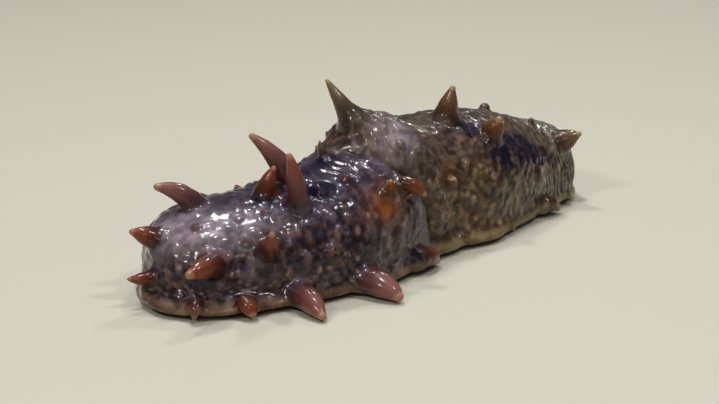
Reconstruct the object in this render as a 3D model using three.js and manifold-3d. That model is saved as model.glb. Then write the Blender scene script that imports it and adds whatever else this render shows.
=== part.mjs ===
// Japanese spiny sea cucumber, a still model at life size, resting on its sole.
// Millimetres, +Z up, floor at Z = 0. The mouth end lies towards -X and the tail towards +X.
// The trunk is lofted along stations on a curved axis. u counts stations from the mouth end, and
// theta turns round the trunk in degrees: 0 is the near flank (-Y), 90 the crest, 180 the far
// flank, and -90 and 270 are the two edges of the sole.

import * as THREE from 'three';
import { mergeVertices } from 'three/addons/utils/BufferGeometryUtils.js';
import Module from 'manifold-3d';

const wasm = await Module();
wasm.setup();

// Driving dimensions of the trunk: place of the axis, half width and height at each station
const STATIONS = [
  { x: -26.0, y: 35.0, halfWidth: 15.5, height: 18.5 },
  { x: -12.5, y: 27.5, halfWidth: 17.0, height: 21.0 },
  { x: 1.5, y: 21.0, halfWidth: 18.5, height: 23.5 },
  { x: 16.0, y: 18.5, halfWidth: 18.0, height: 27.0 },
  { x: 31.0, y: 21.0, halfWidth: 16.5, height: 29.5 },
  { x: 46.0, y: 26.0, halfWidth: 16.5, height: 28.4 },
  { x: 61.0, y: 27.0, halfWidth: 19.0, height: 28.6 },
  { x: 77.0, y: 28.0, halfWidth: 17.5, height: 26.6 },
  { x: 92.0, y: 28.5, halfWidth: 14.0, height: 21.8 },
  { x: 108.0, y: 29.5, halfWidth: 10.0, height: 18.0 },
];
const LAST = STATIONS.length - 1;
const AXIS_CENTRE = { x: 36.46, y: 21.27 };

// Rounding of the two ends, in stations, and how blunt each is
const HEAD_ROUND = 0.85;
const TAIL_ROUND = 0.45;
const HEAD_BLUNT = 2.7;
const TAIL_BLUNT = 2.6;
const MARGIN_BLUNT = 4.5;

// The crease that crosses the back aslant, and the shoulder that swells behind it
const CREASE_MIDDLE = 3.5;
const CREASE_SLANT = 0.65;
const CREASE_TURN = -18;
const CREASE_HALF = 0.14;
const CREASE_DEPTH = 3.6;
const SHOULDER_RISE = 5.5;
const SHOULDER_AT = 4.05;
const SHOULDER_LENGTH = 0.78;
const SHOULDER_START = 3.35;
const SHOULDER_ONSET = 0.6;

// Section of the trunk: how high it is widest, how far it draws in, and how full its arcs are
const WIDEST = 0.33;
const DRAW_IN = 0.07;
const FLANK_FULLNESS = 0.88;
const CREST_FULLNESS = 0.92;

// The thin margin that spreads round the sole
const MARGIN_WIDTH = 1.2;
const MARGIN_LOBES = [
  { at: 0.8, long: 0.9, wide: 5.0 },
  { at: 5.3, long: 1.0, wide: 3.2 },
];
const MARGIN_AHEAD = 4.0;
const MARGIN_BEHIND = -1.0;
const FAR_SPREAD = 0.35;
const FAR_FALL = 2;
const BELLY_Z = 3.0;
const GAP = 0.3;
const SOLE_TOP = BELLY_Z - GAP;
const SOLE_RIM = 1.9;
const SOLE_BOTTOM = 1.0;

// Where the lengths of the trunk and of the sole part
const HEAD_CUT = 1.3;
const MIDDLE_CUT = 5.35;
const TAIL_CUT = 7.0;
const SOLE_CUTS = [3.2, 6.0];
const SOLE_CLOSING = 2.2;
const STATION_LENGTH = 15.5;
const HALF_CUT = 0.42 / STATION_LENGTH / 2;
const CUT_MIDDLE_Z = 6.5;

// Papillae of the back and flanks: root, length, radius, and how the tip leans from the skin
const PAPILLAE = [
  { u: 0.75, theta: 90, reach: 10.5, girth: 2.3, tail: -1.2, over: 0.0, blunt: 2.2 },
  { u: 2.2, theta: 88, reach: 14.4, girth: 2.4, tail: -0.45, over: 0.3, blunt: 2.0 },
  { u: 2.98, theta: 94, reach: 4.6, girth: 1.3, tail: 0.0, over: 0.1, blunt: 1.4 },
  { u: 3.84, theta: 98, reach: 11.2, girth: 3.1, tail: 0.45, over: 0.4, blunt: 1.0 },
  { u: 5.85, theta: 78, reach: 8.8, girth: 2.9, tail: 0.1, over: 0.0, blunt: 1.6 },
  { u: 7.28, theta: 93, reach: 2.4, girth: 1.3, tail: -0.1, over: 0.1, blunt: 2.4 },
  { u: 7.92, theta: 67, reach: 2.4, girth: 1.0, tail: -0.4, over: 0.5, blunt: 1.6 },
  { u: 8.4, theta: 40, reach: 6.4, girth: 3.0, tail: 0.15, over: -0.1, blunt: 1.7 },
  { u: 0.14, theta: 67, reach: 6.8, girth: 2.4, tail: -0.2, over: 0.05, blunt: 2.0 },
  { u: 1.73, theta: 79, reach: 7.2, girth: 2.5, tail: 0.45, over: 0.0, blunt: 1.5 },
  { u: 2.02, theta: 57, reach: 13.0, girth: 2.2, tail: -0.1, over: 0.45, blunt: 2.0 },
  { u: 6.35, theta: 51, reach: 5.8, girth: 2.5, tail: -0.1, over: 0.15, blunt: 2.2 },
  { u: 0.78, theta: 18, reach: 10.5, girth: 2.3, tail: -0.85, over: -0.25, blunt: 2.6 },
  { u: 1.54, theta: 23, reach: 6.3, girth: 2.1, tail: 0.05, over: 0.6, blunt: 2.0 },
  { u: 3.25, theta: 38, reach: 3.6, girth: 2.0, tail: -0.4, over: 0.9, blunt: 1.5 },
  { u: 3.52, theta: 38, reach: 6.4, girth: 1.8, tail: 0.6, over: -1.7, blunt: 2.4 },
  { u: 4.9, theta: 21, reach: 2.2, girth: 1.9, tail: 0.0, over: 0.3, blunt: 1.9 },
  { u: 0.05, theta: 3, reach: 6.4, girth: 2.0, tail: -0.1, over: 0.1, blunt: 1.5 },
];

// Papillae that spread from the near margin, laid out to their tips close above the floor
const NEAR_MARGIN = [
  { u: 0.52, slide: -1.3, reach: 3.3, girth: 1.5 },
  { u: 1.13, slide: 1.1, reach: 4.4, girth: 1.7 },
  { u: 1.86, slide: 0.8, reach: 11.3, girth: 2.6 },
  { u: 2.72, slide: 1.6, reach: 10.3, girth: 2.9 },
  { u: 3.6, slide: 8.3, reach: 1.0, girth: 2.4 },
  { u: 5.1, slide: 0.5, reach: 0.6, girth: 1.1 },
  { u: 6.3, slide: 1.0, reach: 1.0, girth: 1.1 },
  { u: 7.5, slide: 5.5, reach: 0.8, girth: 2.0 },
  { u: 8.25, slide: 2.5, reach: 1.0, girth: 1.1 },
];
const MARGIN_THETA = 62;
const MARGIN_TIP_Z = 0.95;
const MARGIN_ARCH = 0.3;
const LOWEST_Z = 0.75;
const MARGIN_PAPILLA_BLUNT = 2.4;

// Rows on the far side, drawn evenly with some variation
const FAR_ROWS = [
  { theta: 150, from: 1.6, step: 0.98, count: 7, reach: 4.2, girth: 1.8 },
  { theta: 176, from: 0.8, step: 0.97, count: 9, reach: 7.0, girth: 2.1 },
];
const FAR_MARGIN = { from: 1.6, step: 0.9, count: 8, reach: 7.0, girth: 1.7, slide: 1.0 };
const SMALL_ROWS = [
  { theta: 62, from: 0.5, step: 1.07, count: 8 },
  { theta: 8, from: 1.1, step: 1.03, count: 8 },
  { theta: 122, from: 0.9, step: 1.0, count: 8 },
  { theta: 186, from: 1.0, step: 1.05, count: 7 },
];
const SMALL_REACH = 1.7;
const SMALL_GIRTH = 1.1;
const CLEAR_OF_CUT = 0.3;
const FAR_CLEAR_OF_CUT = 0.5;

// Shape that all papillae share
const ROOT_SPREAD = 0.45;
const ROOT_SPREAD_OVER = 0.15;
const TIP_SHARE = 0.16;
const ROOT_SUNK = 1.6;

// Tube feet under the sole, in three bands
const FOOT_BANDS = [-0.62, 0, 0.62];
const FOOT_STEP = 0.38;
const FOOT_RADIUS = 0.65;
const FOOT_DISC_RADIUS = 0.9;
const FOOT_SIDES = 5;

// Mouth with its drawn-in tentacles, set in the front of the sole
const MOUTH_U = 0.62;
const MOUTH_RADIUS = 5.0;
const MOUTH_HOLLOW = 2.2;
const TENTACLES = 20;
const TENTACLE_RADIUS = 0.55;

// Vent at the tail end
const VENT_RADIUS = 1.7;
const VENT_DEPTH = 3.5;
const VENT_Z = 8.5;

const rad = THREE.MathUtils.degToRad;
const lerp = THREE.MathUtils.lerp;
const clamp = THREE.MathUtils.clamp;

// A repeatable stream of numbers from 0 to 1
function seededStream(seed) {
  let state = seed;
  return () => {
    state = (state * 16807) % 2147483647;
    return state / 2147483647;
  };
}

function swell(value, middle, half) {
  return Math.exp(-(((value - middle) / half) ** 2));
}

function station(index, key) {
  if (index < 0) return 2 * STATIONS[0][key] - STATIONS[-index][key];
  if (index > LAST) return 2 * STATIONS[LAST][key] - STATIONS[2 * LAST - index][key];
  return STATIONS[index][key];
}

// Smooth curve through one measure of the stations
function measure(u, key) {
  const cell = clamp(Math.floor(u), 0, LAST - 1);
  const t = u - cell;
  const [a, b, c, d] = [-1, 0, 1, 2].map((step) => station(cell + step, key));
  return 0.5 * (2 * b + (c - a) * t + (2 * a - 5 * b + 4 * c - d) * t ** 2
    + (3 * b - a - 3 * c + d) * t ** 3);
}

// Place of the axis at u, and its direction towards the tail
function axisAt(u) {
  const step = 0.001;
  const ahead = Math.min(u + step, LAST);
  const behind = Math.max(u - step, 0);
  const dx = measure(ahead, 'x') - measure(behind, 'x');
  const dy = measure(ahead, 'y') - measure(behind, 'y');
  const length = Math.hypot(dx, dy);
  return {
    x: measure(u, 'x') - AXIS_CENTRE.x,
    y: measure(u, 'y') - AXIS_CENTRE.y,
    tailX: dx / length,
    tailY: dy / length,
  };
}

// Where the crease crosses the section, on one slanting plane
function creaseAt(theta) {
  const up = Math.sin(rad(theta));
  const across = up >= 0 ? Math.cos(rad(theta)) : Math.sign(90 - theta);
  const height = up >= 0 ? up : (up * WIDEST) / (1 - WIDEST);
  const turn = rad(CREASE_TURN);
  return CREASE_MIDDLE + CREASE_SLANT * (Math.cos(turn) * across + Math.sin(turn) * height);
}

// How far the section has opened from each end, from 0 at the end to 1
function opening(u, headBlunt, tailBlunt) {
  const head = clamp(1 - u / HEAD_ROUND, 0, 1);
  const tail = clamp(1 - (LAST - u) / TAIL_ROUND, 0, 1);
  return (1 - head ** headBlunt) ** (1 / headBlunt) * (1 - tail ** tailBlunt) ** (1 / tailBlunt);
}

function marginWidth(u) {
  return MARGIN_LOBES.reduce((sum, lobe) => sum + lobe.wide * swell(u, lobe.at, lobe.long), MARGIN_WIDTH);
}

// A point on the skin
function skinPoint(u, theta) {
  const axis = axisAt(u);
  const across = Math.abs(Math.cos(rad(theta)));
  const up = Math.sin(rad(theta));
  const side = theta < 90 ? 1 : -1;
  const past = u - creaseAt(theta);
  const nearShare = THREE.MathUtils.smoothstep((Math.cos(rad(theta)) + 0.35) / 1.2, 0, 1);
  const crease = CREASE_DEPTH * swell(past, 0, CREASE_HALF) * nearShare;
  const pastStart = u - Math.max(creaseAt(theta), SHOULDER_START);
  const shoulder = SHOULDER_RISE * THREE.MathUtils.smoothstep(pastStart / SHOULDER_ONSET, 0, 1)
    * swell(u, SHOULDER_AT, SHOULDER_LENGTH) * Math.max(up, 0) ** 2;
  const halfWidth = measure(u, 'halfWidth') - crease;
  const widestZ = WIDEST * measure(u, 'height');
  const crestZ = measure(u, 'height') - crease + shoulder;
  let offset;
  let z;
  let push = 0;
  if (up >= 0) {
    const open = opening(u, HEAD_BLUNT, TAIL_BLUNT);
    offset = halfWidth * across ** FLANK_FULLNESS * open;
    z = widestZ + (crestZ - widestZ) * up ** CREST_FULLNESS * open;
  } else {
    const low = -up;
    const open = opening(u, lerp(HEAD_BLUNT, MARGIN_BLUNT, low), TAIL_BLUNT);
    const spread = side > 0 ? 1 : FAR_SPREAD;
    offset = (halfWidth * (1 - DRAW_IN * (1 - across)) + spread * marginWidth(u) * low ** 5) * open;
    z = widestZ - (widestZ - BELLY_Z) * low;
    const fall = side > 0 ? 1 : FAR_FALL;
    push = (u < LAST / 2 ? -MARGIN_AHEAD : MARGIN_BEHIND) * low ** 4 * (1 - open) ** fall;
  }
  return new THREE.Vector3(
    axis.x + side * offset * axis.tailY + push * axis.tailX,
    axis.y - side * offset * axis.tailX + push * axis.tailY,
    z,
  );
}

// Directions on the skin: out of it, towards the tail, and round the trunk
function skinFrame(u, theta) {
  const reachU = 0.02;
  const reachTheta = 2;
  const inner = clamp(u, reachU, LAST - reachU);
  const tailward = skinPoint(inner + reachU, theta).sub(skinPoint(inner - reachU, theta)).normalize();
  const round = skinPoint(inner, theta + reachTheta).sub(skinPoint(inner, theta - reachTheta)).normalize();
  const out = new THREE.Vector3().crossVectors(tailward, round).normalize();
  return { root: skinPoint(u, theta), out, tailward, round };
}

// Closed surface through a list of rings. A ring of one point closes that end.
function shell(rings) {
  const starts = [];
  const positions = [];
  rings.forEach((ring) => {
    starts.push(positions.length / 3);
    ring.forEach((point) => positions.push(point.x, point.y, point.z));
  });
  const index = [];
  for (let r = 0; r + 1 < rings.length; r += 1) {
    const here = rings[r];
    const next = rings[r + 1];
    const sides = Math.max(here.length, next.length);
    for (let s = 0; s < sides; s += 1) {
      const after = (s + 1) % sides;
      const a = starts[r] + (s % here.length);
      const b = starts[r] + (after % here.length);
      const c = starts[r + 1] + (s % next.length);
      const d = starts[r + 1] + (after % next.length);
      index.push(a, c, d, a, d, b);
    }
  }
  const geometry = new THREE.BufferGeometry();
  geometry.setAttribute('position', new THREE.Float32BufferAttribute(positions, 3));
  geometry.setIndex(index);
  return welded(geometry);
}

// Joins vertices that coincide, and drops the triangles that this closes up
function welded(geometry) {
  geometry.deleteAttribute('normal');
  geometry.deleteAttribute('uv');
  const merged = mergeVertices(geometry, 0.0005);
  const kept = [];
  const corners = merged.index.array;
  for (let i = 0; i < corners.length; i += 3) {
    const [a, b, c] = [corners[i], corners[i + 1], corners[i + 2]];
    if (a !== b && b !== c && c !== a) kept.push(a, b, c);
  }
  merged.setIndex(kept);
  return merged;
}

function solidOf(geometry) {
  return new wasm.Manifold(new wasm.Mesh({
    numProp: 3,
    vertProperties: new Float32Array(geometry.attributes.position.array),
    triVerts: new Uint32Array(geometry.index.array),
  }));
}

// The largest closed surface of a solid, as a three.js geometry
function largestSurface(solid) {
  const pieces = solid.decompose().sort((one, other) => other.volume() - one.volume());
  const mesh = pieces[0].getMesh();
  const geometry = new THREE.BufferGeometry();
  geometry.setAttribute('position', new THREE.BufferAttribute(new Float32Array(mesh.vertProperties), 3));
  geometry.setIndex(new THREE.BufferAttribute(new Uint32Array(mesh.triVerts), 1));
  return geometry;
}

// Turns round the section: close steps under the flanks, even steps over the back
const LOW_STEPS = 5;
const BACK_STEPS = 12;
const LOW_TURN = 90 / LOW_STEPS;
const BACK_TURN = 180 / BACK_STEPS;
const THETAS = [
  ...Array.from({ length: LOW_STEPS }, (_, i) => -90 + LOW_TURN * i),
  ...Array.from({ length: BACK_STEPS }, (_, i) => BACK_TURN * i),
  ...Array.from({ length: LOW_STEPS + 1 }, (_, i) => 180 + LOW_TURN * i),
];

// Middle of a cut, low enough that the whole rim of the section can be seen from it
function cutMiddle(u) {
  const axis = axisAt(u);
  return new THREE.Vector3(axis.x, axis.y, CUT_MIDDLE_Z);
}

// A length of the trunk between two cuts, each given by u at every theta
function trunkLength({ from, to, middleFrom, middleTo, rows, easing }) {
  const rings = [];
  for (let row = 0; row <= rows; row += 1) {
    const share = easing(row / rows);
    rings.push(THETAS.map((theta) => skinPoint(lerp(from(theta), to(theta), share), theta)));
  }
  if (middleFrom !== undefined) rings.unshift([cutMiddle(middleFrom)]);
  if (middleTo !== undefined) rings.push([cutMiddle(middleTo)]);
  return solidOf(shell(rings));
}

const even = (t) => t;
const closeAtStart = (t) => t ** 1.6;
const closeAtEnd = (t) => 1 - (1 - t) ** 1.6;

// Radius of a papilla from its root (t = 0) to where its tip rounds over (t = 1)
function papillaRadius(t, girth, blunt) {
  const spread = 1 + ROOT_SPREAD * Math.exp(-t / ROOT_SPREAD_OVER);
  return girth * spread * (1 - t ** blunt) + tipRadius(girth, blunt) * t;
}

function tipRadius(girth, blunt) {
  return TIP_SHARE * blunt * girth;
}

// A tapered papilla along a curve, its root sunk in the skin
function papillaSolid({ curve, out, girth, blunt, sides, steps }) {
  const rings = [];
  const root = curve.getPoint(0);
  const ring = (centre, along, radius) => {
    const helper = Math.abs(along.z) < 0.9 ? new THREE.Vector3(0, 0, 1) : new THREE.Vector3(1, 0, 0);
    const first = new THREE.Vector3().crossVectors(along, helper).normalize();
    const second = new THREE.Vector3().crossVectors(along, first);
    return Array.from({ length: sides }, (_, side) => {
      const turn = (-2 * Math.PI * side) / sides;
      const point = centre.clone()
        .addScaledVector(first, radius * Math.cos(turn))
        .addScaledVector(second, radius * Math.sin(turn));
      point.z = Math.max(point.z, LOWEST_Z);
      return point;
    });
  };
  const sunk = root.clone().addScaledVector(out, -(ROOT_SUNK + girth * 0.5));
  rings.push([sunk]);
  rings.push(ring(sunk, out, girth * 0.7));
  const tip = curve.getPoint(1);
  const end = curve.getTangent(1);
  const round = tipRadius(girth, blunt);
  for (const t of steps) {
    const centre = curve.getPoint(t).addScaledVector(end, -t * round);
    if (t === 0) centre.addScaledVector(out, -0.3);
    rings.push(ring(centre, t === 0 ? out : curve.getTangent(t), papillaRadius(t, girth, blunt)));
  }
  rings.push(ring(tip.clone().addScaledVector(end, -0.25 * round), end, 0.65 * round));
  rings.push([tip]);
  return solidOf(shell(rings));
}

const FULL_STEPS = [0, 0.2, 0.5, 0.8, 1];
const SMALL_STEPS = [0, 0.7];

function backPapilla({ u, theta, reach, girth, tail, over, blunt, sides = 7, steps = FULL_STEPS }) {
  const { root, out, tailward, round } = skinFrame(u, theta);
  const lean = out.clone().addScaledVector(tailward, tail).addScaledVector(round, over).normalize();
  const bend = root.clone().addScaledVector(out, reach * 0.25).addScaledVector(lean, reach * 0.25);
  const tip = root.clone().addScaledVector(lean, reach);
  const curve = new THREE.QuadraticBezierCurve3(root, bend, tip);
  return papillaSolid({ curve, out, girth, blunt, sides, steps });
}

// A papilla that spreads from the margin, side 1 on the near flank and -1 on the far one
function marginPapilla({ u, slide, reach, girth, side }) {
  const theta = side > 0 ? -MARGIN_THETA : 180 + MARGIN_THETA;
  const { root, out } = skinFrame(u, theta);
  const axis = axisAt(u);
  const outward = new THREE.Vector3(side * axis.tailY, -side * axis.tailX, 0);
  const tailward = new THREE.Vector3(axis.tailX, axis.tailY, 0);
  const tip = root.clone().addScaledVector(outward, reach).addScaledVector(tailward, slide);
  const bend = root.clone().lerp(tip, 0.5);
  tip.z = MARGIN_TIP_Z;
  bend.z = root.z + MARGIN_ARCH;
  const curve = new THREE.QuadraticBezierCurve3(root, bend, tip);
  return papillaSolid({ curve, out, girth, blunt: MARGIN_PAPILLA_BLUNT, sides: 7, steps: FULL_STEPS });
}

// A slab of the sole between two stations, its outline the edge of the skin
function soleSlab(from, to, grow) {
  const rows = Math.round((to - from) / 0.2);
  const rings = [];
  const edge = (u, side, inset, z) => {
    const outer = skinPoint(u, side > 0 ? -90 : 270);
    const axis = axisAt(u);
    const shrink = (inset - grow) * opening(u, MARGIN_BLUNT, MARGIN_BLUNT);
    return new THREE.Vector3(
      outer.x - side * shrink * axis.tailY,
      outer.y + side * shrink * axis.tailX,
      z,
    );
  };
  const profile = [
    { inset: 1.0, z: SOLE_BOTTOM - grow },
    { inset: 0.2, z: SOLE_RIM },
    { inset: 0.5, z: SOLE_TOP + grow },
  ];
  const endEase = (share) => {
    const start = from === 0 ? share ** SOLE_CLOSING : share;
    const end = to === LAST ? 1 - (1 - share) ** SOLE_CLOSING : share;
    return lerp(start, end, share);
  };
  for (let row = 0; row <= rows; row += 1) {
    const u = lerp(from, to, endEase(row / rows));
    const near = profile.map(({ inset, z }) => edge(u, 1, inset, z));
    const far = profile.map(({ inset, z }) => edge(u, -1, inset, z)).reverse();
    rings.push([...near, ...far]);
  }
  const middle = (u) => {
    const axis = axisAt(u);
    return new THREE.Vector3(axis.x, axis.y, SOLE_RIM);
  };
  if (from > 0) rings.unshift([middle(from)]);
  if (to < LAST) rings.push([middle(to)]);
  return solidOf(shell(rings));
}

// One tube foot: a short column that ends in a flat disc on the floor
function tubeFoot(x, y, turn) {
  const ring = (radius, z) => Array.from({ length: FOOT_SIDES }, (_, side) => {
    const angle = turn - (2 * Math.PI * side) / FOOT_SIDES;
    return new THREE.Vector3(x + radius * Math.cos(angle), y + radius * Math.sin(angle), z);
  });
  return solidOf(shell([
    [new THREE.Vector3(x, y, 0)],
    ring(FOOT_DISC_RADIUS, 0),
    ring(FOOT_RADIUS, 0.45),
    ring(FOOT_RADIUS, SOLE_RIM),
    [new THREE.Vector3(x, y, SOLE_RIM)],
  ]));
}

function tubeFeet(from, to, draw) {
  const feet = [];
  const count = Math.floor((to - from) / FOOT_STEP);
  FOOT_BANDS.forEach((band, lane) => {
    for (let i = 0; i < count; i += 1) {
      const u = from + (i + 0.35 + 0.15 * lane + 0.2 * (draw() - 0.5)) * ((to - from) / count);
      const axis = axisAt(u);
      const half = measure(u, 'halfWidth') * opening(u, MARGIN_BLUNT, MARGIN_BLUNT);
      const offset = half * (band + 0.1 * (draw() - 0.5));
      const turn = 2 * Math.PI * draw();
      const nearMouth = Math.hypot((u - MOUTH_U) * STATION_LENGTH, offset) < MOUTH_RADIUS + 2.2;
      if (!nearMouth) feet.push(tubeFoot(axis.x + offset * axis.tailY, axis.y - offset * axis.tailX, turn));
    }
  });
  return feet;
}

// A turned body from a profile that runs from its foot to its top
function lathe(profile, sides) {
  const points = profile.map(([radius, z]) => new THREE.Vector2(radius, z));
  const geometry = new THREE.LatheGeometry(points, sides);
  geometry.rotateX(Math.PI / 2);
  return geometry;
}

// Mouth: a low lip round a hollow, with two circles of drawn-in tentacle tips
function mouthSolid(centre) {
  const lip = lathe([
    [0, SOLE_RIM + 0.3],
    [MOUTH_HOLLOW, SOLE_RIM],
    [MOUTH_RADIUS - 0.8, SOLE_BOTTOM - 0.2],
    [MOUTH_RADIUS, SOLE_BOTTOM + 0.3],
    [MOUTH_RADIUS, SOLE_TOP],
    [0, SOLE_TOP],
  ], 28);
  lip.translate(centre.x, centre.y, 0);
  const tips = Array.from({ length: TENTACLES }, (_, i) => {
    const turn = (2 * Math.PI * i) / TENTACLES;
    const radius = MOUTH_HOLLOW + (i % 2 ? 0.1 : 1.1);
    const tip = new THREE.SphereGeometry(TENTACLE_RADIUS, 6, 4);
    tip.translate(centre.x + radius * Math.cos(turn), centre.y + radius * Math.sin(turn), SOLE_BOTTOM + 0.25);
    return solidOf(welded(tip));
  });
  return tips.reduce((whole, tip) => whole.add(tip), solidOf(welded(lip)));
}

// Clear round hole in the sole that the mouth sits in
function mouthClearance(centre) {
  const hole = lathe([
    [0, SOLE_BOTTOM - 1],
    [MOUTH_RADIUS + GAP, SOLE_BOTTOM - 1],
    [MOUTH_RADIUS + GAP, SOLE_TOP + 1],
    [0, SOLE_TOP + 1],
  ], 28);
  hole.translate(centre.x, centre.y, 0);
  return solidOf(welded(hole));
}

// Conical hollow of the vent, pointing into the tail
function ventHollow() {
  const pit = new THREE.ConeGeometry(VENT_RADIUS, VENT_DEPTH, 12);
  const axis = axisAt(LAST);
  const inward = new THREE.Vector3(-axis.tailX, -axis.tailY, 0);
  pit.applyQuaternion(new THREE.Quaternion().setFromUnitVectors(new THREE.Vector3(0, 1, 0), inward));
  pit.translate(axis.x - 1.2 * axis.tailX, axis.y - 1.2 * axis.tailY, VENT_Z);
  return solidOf(welded(pit));
}

// Moves a root that would straddle a cut to the nearer clear place
function clearOfCuts(u, theta, clear) {
  const cuts = [HEAD_CUT, creaseAt(theta), MIDDLE_CUT, TAIL_CUT];
  const close = cuts.find((cut) => Math.abs(u - cut) < clear);
  if (close === undefined) return u;
  return close + (u < close ? -clear : clear);
}

function lengthAt(u, theta) {
  if (u < HEAD_CUT) return 'head_end';
  if (u < creaseAt(theta)) return 'forebody';
  if (u < MIDDLE_CUT) return 'midbody';
  return u < TAIL_CUT ? 'hindbody' : 'tail_end';
}

// Every papilla with the length of the trunk that it grows from
function allPapillae() {
  const draw = seededStream(4127);
  const vary = (share) => 1 + share * (draw() - 0.5);
  const grown = PAPILLAE.map((one) => ({ node: lengthAt(one.u, one.theta), solid: backPapilla(one) }));
  NEAR_MARGIN.forEach((one) => {
    grown.push({ node: lengthAt(one.u, -MARGIN_THETA), solid: marginPapilla({ ...one, side: 1 }) });
  });
  FAR_ROWS.forEach((row) => {
    for (let i = 0; i < row.count; i += 1) {
      const theta = row.theta + 10 * (draw() - 0.5);
      const u = clearOfCuts(row.from + row.step * i + 0.2 * (draw() - 0.5), theta, FAR_CLEAR_OF_CUT);
      const solid = backPapilla({
        u,
        theta,
        reach: row.reach * vary(0.5),
        girth: row.girth * vary(0.3),
        tail: 0.8 * (draw() - 0.5),
        over: 0.5 * (draw() - 0.5),
        blunt: 1.3 + draw(),
      });
      grown.push({ node: lengthAt(u, theta), solid });
    }
  });
  for (let i = 0; i < FAR_MARGIN.count; i += 1) {
    const theta = 180 + MARGIN_THETA;
    const drawn = FAR_MARGIN.from + FAR_MARGIN.step * i + 0.15 * (draw() - 0.5);
    const u = clearOfCuts(drawn, theta, FAR_CLEAR_OF_CUT);
    const solid = marginPapilla({
      u,
      slide: FAR_MARGIN.slide * 2 * (draw() - 0.5),
      reach: FAR_MARGIN.reach * vary(0.4),
      girth: FAR_MARGIN.girth * vary(0.3),
      side: -1,
    });
    grown.push({ node: lengthAt(u, theta), solid });
  }
  SMALL_ROWS.forEach((row) => {
    for (let i = 0; i < row.count; i += 1) {
      const theta = row.theta + 14 * (draw() - 0.5);
      const u = clearOfCuts(row.from + row.step * i + 0.3 * (draw() - 0.5), theta, CLEAR_OF_CUT);
      const solid = backPapilla({
        u,
        theta,
        reach: SMALL_REACH * vary(0.5),
        girth: SMALL_GIRTH * vary(0.3),
        tail: 0.3 * (draw() - 0.5),
        over: 0,
        blunt: 1.6,
        sides: 5,
        steps: SMALL_STEPS,
      });
      grown.push({ node: lengthAt(u, theta), solid });
    }
  });
  return grown;
}

const flesh = {
  back: new THREE.MeshStandardMaterial({ color: 0x4a3b36, roughness: 0.3, metalness: 0 }),
  rear: new THREE.MeshStandardMaterial({ color: 0x50473a, roughness: 0.3, metalness: 0 }),
  sole: new THREE.MeshStandardMaterial({ color: 0x8a6e58, roughness: 0.4, metalness: 0 }),
  mouth: new THREE.MeshStandardMaterial({ color: 0x6e4a40, roughness: 0.35, metalness: 0 }),
};

const seaCucumber = new THREE.Group();

function addNode(name, solid, material) {
  const mesh = new THREE.Mesh(largestSurface(solid), material);
  mesh.name = name;
  seaCucumber.add(mesh);
}

const flat = (u) => () => u;
const creaseFront = (theta) => creaseAt(theta) - HALF_CUT;
const creaseBack = (theta) => creaseAt(theta) + HALF_CUT;
const headRound = (t) => 1 - Math.sqrt(1 - t * t);
const trunk = {
  head_end: {
    from: flat(0),
    to: flat(HEAD_CUT - HALF_CUT),
    middleTo: HEAD_CUT - HALF_CUT,
    rows: 12,
    easing: (t) => lerp(headRound(t), t, 0.15),
    material: flesh.back,
  },
  forebody: {
    from: flat(HEAD_CUT + HALF_CUT),
    to: creaseFront,
    middleFrom: HEAD_CUT + HALF_CUT,
    middleTo: CREASE_MIDDLE - HALF_CUT,
    rows: 13,
    easing: closeAtEnd,
    material: flesh.back,
  },
  midbody: {
    from: creaseBack,
    to: flat(MIDDLE_CUT - HALF_CUT),
    middleFrom: CREASE_MIDDLE + HALF_CUT,
    middleTo: MIDDLE_CUT - HALF_CUT,
    rows: 9,
    easing: closeAtStart,
    material: flesh.rear,
  },
  hindbody: {
    from: flat(MIDDLE_CUT + HALF_CUT),
    to: flat(TAIL_CUT - HALF_CUT),
    middleFrom: MIDDLE_CUT + HALF_CUT,
    middleTo: TAIL_CUT - HALF_CUT,
    rows: 6,
    easing: even,
    material: flesh.rear,
  },
  tail_end: {
    from: flat(TAIL_CUT + HALF_CUT),
    to: flat(LAST),
    middleFrom: TAIL_CUT + HALF_CUT,
    rows: 12,
    easing: (t) => 1 - lerp(headRound(1 - t), 1 - t, 0.3),
    material: flesh.rear,
  },
};

const papillae = allPapillae();
const soleRoom = soleSlab(0, LAST, GAP - 0.02);
const mouthAxis = axisAt(MOUTH_U);

for (const [name, length] of Object.entries(trunk)) {
  let solid = trunkLength(length);
  for (const grown of papillae.filter((one) => one.node === name)) solid = solid.add(grown.solid);
  solid = solid.subtract(soleRoom);
  if (name === 'tail_end') solid = solid.subtract(ventHollow());
  addNode(name, solid, length.material);
}

const soleNames = ['sole_front', 'sole_middle', 'sole_rear'];
const soleEnds = [0, ...SOLE_CUTS, LAST];
const footDraw = seededStream(991);
soleNames.forEach((name, i) => {
  const from = soleEnds[i] + (i > 0 ? HALF_CUT : 0);
  const to = soleEnds[i + 1] - (i < soleNames.length - 1 ? HALF_CUT : 0);
  let solid = soleSlab(from, to, 0);
  if (i === 0) solid = solid.subtract(mouthClearance(mouthAxis));
  for (const foot of tubeFeet(from + 0.15, to - 0.15, footDraw)) solid = solid.add(foot);
  addNode(name, solid, flesh.sole);
});

addNode('mouth', mouthSolid(mouthAxis), flesh.mouth);

export default seaCucumber;
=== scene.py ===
import itertools
import math

import bpy
import numpy as np
from mathutils import Matrix


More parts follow.
